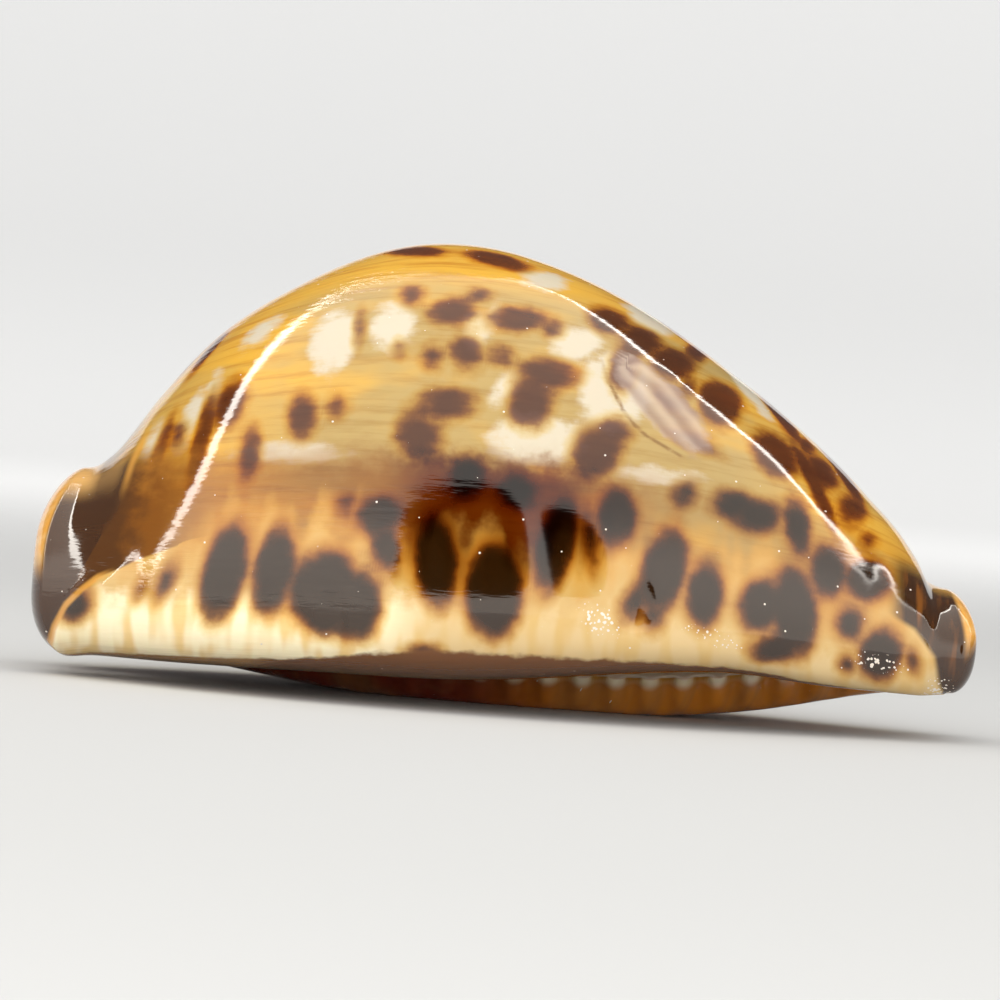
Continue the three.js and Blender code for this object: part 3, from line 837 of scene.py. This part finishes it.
FLOOR_COLOUR = (0.54, 0.55, 0.56, 1)
FLOOR_GLOW = 0.64
GLOW_COLOUR = (1, 0.99, 0.97, 1)
SKY_COLOUR = (0.95, 0.97, 1, 1)
SKY_STRENGTH = 0.08

# Soft fills: name, then place, width and depth in metres, and strength.
FILLS = [
    ("back_fill", (0, 0.6, 0.4), 0.9, 0.5, 0.3),
    ("top_fill", (0, -0.12, 0.42), 0.6, 0.5, 1.25),
    ("front_fill", (0, -0.95, 0.45), 1.0, 0.7, 3.0),
]


def camera():
    data = bpy.data.cameras.new("camera")
    data.sensor_width = 36
    data.lens = data.sensor_width * CAMERA_AWAY / VIEW_WIDTH
    data.clip_start = 0.01
    back = Vector((0, -math.cos(CAMERA_RISE), math.sin(CAMERA_RISE)))
    right = Vector((1, 0, 0))
    up = back.cross(right)
    side = right * math.cos(CAMERA_ROLL) + up * math.sin(CAMERA_ROLL)
    turned = Matrix((side, back.cross(side), back)).transposed().to_4x4()
    turned.translation = AIM + back * CAMERA_AWAY
    view = bpy.data.objects.new("camera", data)
    view.matrix_world = turned
    bpy.context.scene.collection.objects.link(view)
    bpy.context.scene.camera = view


def dome_flat(azimuth, elevation):
    """A direction laid out flat round the zenith, in degrees."""
    turn = np.radians(azimuth)
    return (90 - elevation) * np.sin(turn), -(90 - elevation) * np.cos(turn)


def dome_place(x, y, size):
    away = np.hypot(x, y)
    level = np.sin(np.radians(away)) / np.maximum(away, 1e-6)
    up = np.cos(np.radians(away))
    return np.stack([x * level, y * level, up], axis=-1) * size * MM + np.array(DOME_MIDDLE) * MM


def rounded(points):
    """The same line with its corners cut twice."""
    points = np.array(points, float)
    for _ in range(2):
        first, second = points[:-1], points[1:]
        inner = np.stack([mix(first, second, 0.25), mix(first, second, 0.75)], axis=1)
        points = np.concatenate([points[:1], inner.reshape(-1, points.shape[1]), points[-1:]])
    return points


def inside(loop, x, y):
    """True where a point lies inside a closed loop."""
    odd = np.zeros(x.shape, bool)
    for (ax, ay), (bx, by) in zip(loop, np.roll(loop, -1, axis=0)):
        crosses = (ay > y) != (by > y)
        reach = (bx - ax) * (y - ay) / np.where(by == ay, 1, by - ay) + ax
        odd ^= crosses & (x < reach)
    return odd


def depth_inside(loop, x, y):
    distance = np.abs(edge_distance([*loop, loop[0]], x, y))
    return np.where(inside(loop, x, y), distance, -distance)


def lamp(name, mesh, material):
    """Lit mesh that the camera doesn't see directly; it casts no shadow, so the soft fills reach past it."""
    mesh.materials.append(material)
    lit = bpy.data.objects.new(name, mesh)
    lit.visible_camera = False
    lit.visible_shadow = False
    bpy.context.scene.collection.objects.link(lit)


def lamp_cloth(name, strength):
    material = bpy.data.materials.new(name)
    n = Nodes(material)
    n.shader.inputs["Base Color"].default_value = (0, 0, 0, 1)
    n.shader.inputs["Specular IOR Level"].default_value = 0
    n.shader.inputs["Emission Color"].default_value = LAMP_COLOUR
    n.shader.inputs["Emission Strength"].default_value = strength
    return material, n


def tent_cloth():
    edge = rounded(CLOTH_EDGE)
    front = [(azimuth, DOME_LOW - 1) for azimuth in range(60, -61, -15)]
    loop = np.stack(dome_flat(*np.concatenate([edge[:, :2], front]).T), axis=-1)
    turned, dropped = np.arange(0, 360, 2.5), np.linspace(0.5, 90 - DOME_LOW, 40)
    azimuth, away = np.meshgrid(np.radians(turned), dropped, indexing="ij")
    x, y = away * np.sin(azimuth), -away * np.cos(azimuth)
    depth = depth_inside(loop, x, y)
    gap = np.full(depth.shape, -99.0)
    for line in GAPS:
        corner = np.stack(dome_flat(*rounded([*line, line[0]]).T), axis=-1)
        gap = np.maximum(gap, depth_inside(corner, x, y))
    turns, rings = depth.shape
    faces = []
    for i in range(turns):
        for j in range(rings - 1):
            beside = (i + 1) % turns
            corners = [(i, j), (i, j + 1), (beside, j + 1), (beside, j)]
            if max(depth[corner] for corner in corners) > -0.5:
                faces.append([a * rings + b for a, b in corners])
    mesh = bpy.data.meshes.new("tent_cloth")
    mesh.from_pydata(dome_place(x, y, DOME_SIZE).reshape(-1, 3).tolist(), [], faces)
    store(mesh, "depth", depth.ravel())
    store(mesh, "opening", gap.ravel())
    store(mesh, "height", 90 - away.ravel())
    material, n = lamp_cloth("tent_cloth", CLOTH)
    strength = n.math("MULTIPLY", n.step(n.layer("depth"), -0.2, 0.4), n.step(n.layer("opening"), 0.4, -0.6))
    strength = n.math("MULTIPLY", strength, n.step(n.layer("height"), 0.0, 20.0, 1.45, CLOTH))
    strength = n.math("MULTIPLY", strength, n.step(n.layer("height"), 22.0, 42.0, 1.0, 0.62))
    n.feed(n.shader.inputs["Emission Strength"], strength)
    lamp("tent_cloth", mesh, material)


def tent_hem():
    edge = rounded(CLOTH_EDGE)
    x, y = dome_flat(edge[:, 0], edge[:, 1])
    along = np.stack([np.gradient(x), np.gradient(y)], axis=-1)
    along /= np.linalg.norm(along, axis=1, keepdims=True)
    offset = edge[:, 2:] / 2 * np.stack([-along[:, 1], along[:, 0]], axis=-1)
    sides = [dome_place(x + sign * offset[:, 0], y + sign * offset[:, 1], DOME_SIZE - 2) for sign in (1, -1)]
    count = len(x)
    faces = [(k, k + 1, count + k + 1, count + k) for k in range(count - 1)]
    mesh = bpy.data.meshes.new("tent_hem")
    mesh.from_pydata(np.concatenate(sides).tolist(), [], faces)
    lamp("tent_hem", mesh, lamp_cloth("tent_hem", HEM)[0])


def soft_fill(name, place, wide, deep, strength):
    """Soft light towards the shell that brightens it without showing in the gloss."""
    data = bpy.data.lights.new(name, "AREA")
    data.shape = "RECTANGLE"
    data.size, data.size_y = wide, deep
    data.energy = strength * math.pi * wide * deep
    light = bpy.data.objects.new(name, data)
    light.location = place
    light.rotation_euler = (-Vector(place)).to_track_quat("-Z", "Y").to_euler()
    light.visible_camera = False
    light.visible_glossy = False
    bpy.context.scene.collection.objects.link(light)


def floor_paper():
    """Pale paper that glows a little far from the shell, so that floor and backdrop run together."""
    material = bpy.data.materials.new("floor_paper")
    n = Nodes(material)
    place = n.add("ShaderNodeSeparateXYZ", n.add("ShaderNodeNewGeometry").outputs["Position"])
    x_squared = n.math("POWER", place.outputs[0], 2.0)
    y_squared = n.math("POWER", place.outputs[1], 2.0)
    away = n.math("SQRT", n.math("ADD", x_squared, y_squared))
    glow = n.math("MULTIPLY", n.step(away, 0.12, 0.6, 0.0, FLOOR_GLOW),
                  n.step(place.outputs[2], 0.0, 0.05, 1.0, 0.86))
    n.shader.inputs["Base Color"].default_value = FLOOR_COLOUR
    n.shader.inputs["Roughness"].default_value = 0.9
    n.shader.inputs["Emission Color"].default_value = GLOW_COLOUR
    n.feed(n.shader.inputs["Emission Strength"], glow)
    return material


def floor():
    """Round pale sweep: a level floor that curves up all round."""
    profile = [(0.02, 0.0), (0.3, 0.0), (0.6, 0.0), (FLOOR_FLAT, 0.0)]
    for step in range(1, 13):
        turn = math.pi / 2 * step / 12
        rise = FLOOR_CURVE * (1 - math.cos(turn))
        profile.append((FLOOR_FLAT + FLOOR_CURVE * math.sin(turn), rise))
    vertices = [(0.0, 0.0, 0.0)]
    for away, rise in profile:
        for k in range(FLOOR_SIDES):
            angle = 2 * math.pi * k / FLOOR_SIDES
            vertices.append((away * math.cos(angle), away * math.sin(angle), rise))
    faces = [(0, 1 + k, 1 + (k + 1) % FLOOR_SIDES) for k in range(FLOOR_SIDES)]
    for ring in range(len(profile) - 1):
        start = 1 + ring * FLOOR_SIDES
        for k in range(FLOOR_SIDES):
            beside = (k + 1) % FLOOR_SIDES
            faces.append((start + k, start + FLOOR_SIDES + k, start + FLOOR_SIDES + beside, start + beside))
    mesh = bpy.data.meshes.new("floor")
    mesh.from_pydata(vertices, [], faces)
    for face in mesh.polygons:
        face.use_smooth = True
    mesh.materials.append(floor_paper())
    sweep = bpy.data.objects.new("floor", mesh)
    sweep.location.z = -FLOOR_DROP
    bpy.context.scene.collection.objects.link(sweep)


def studio():
    bpy.context.scene.view_settings.view_transform = "Standard"
    world = bpy.data.worlds.new("studio")
    world.use_nodes = True
    world.node_tree.nodes["Background"].inputs["Color"].default_value = SKY_COLOUR
    world.node_tree.nodes["Background"].inputs["Strength"].default_value = SKY_STRENGTH
    bpy.context.scene.world = world
    tent_cloth()
    tent_hem()
    for fill in FILLS:
        soft_fill(*fill)


camera()
studio()
floor()
shell = build_shell()
shell.data.materials.append(glaze())
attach(shell, "root")
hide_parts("shell")
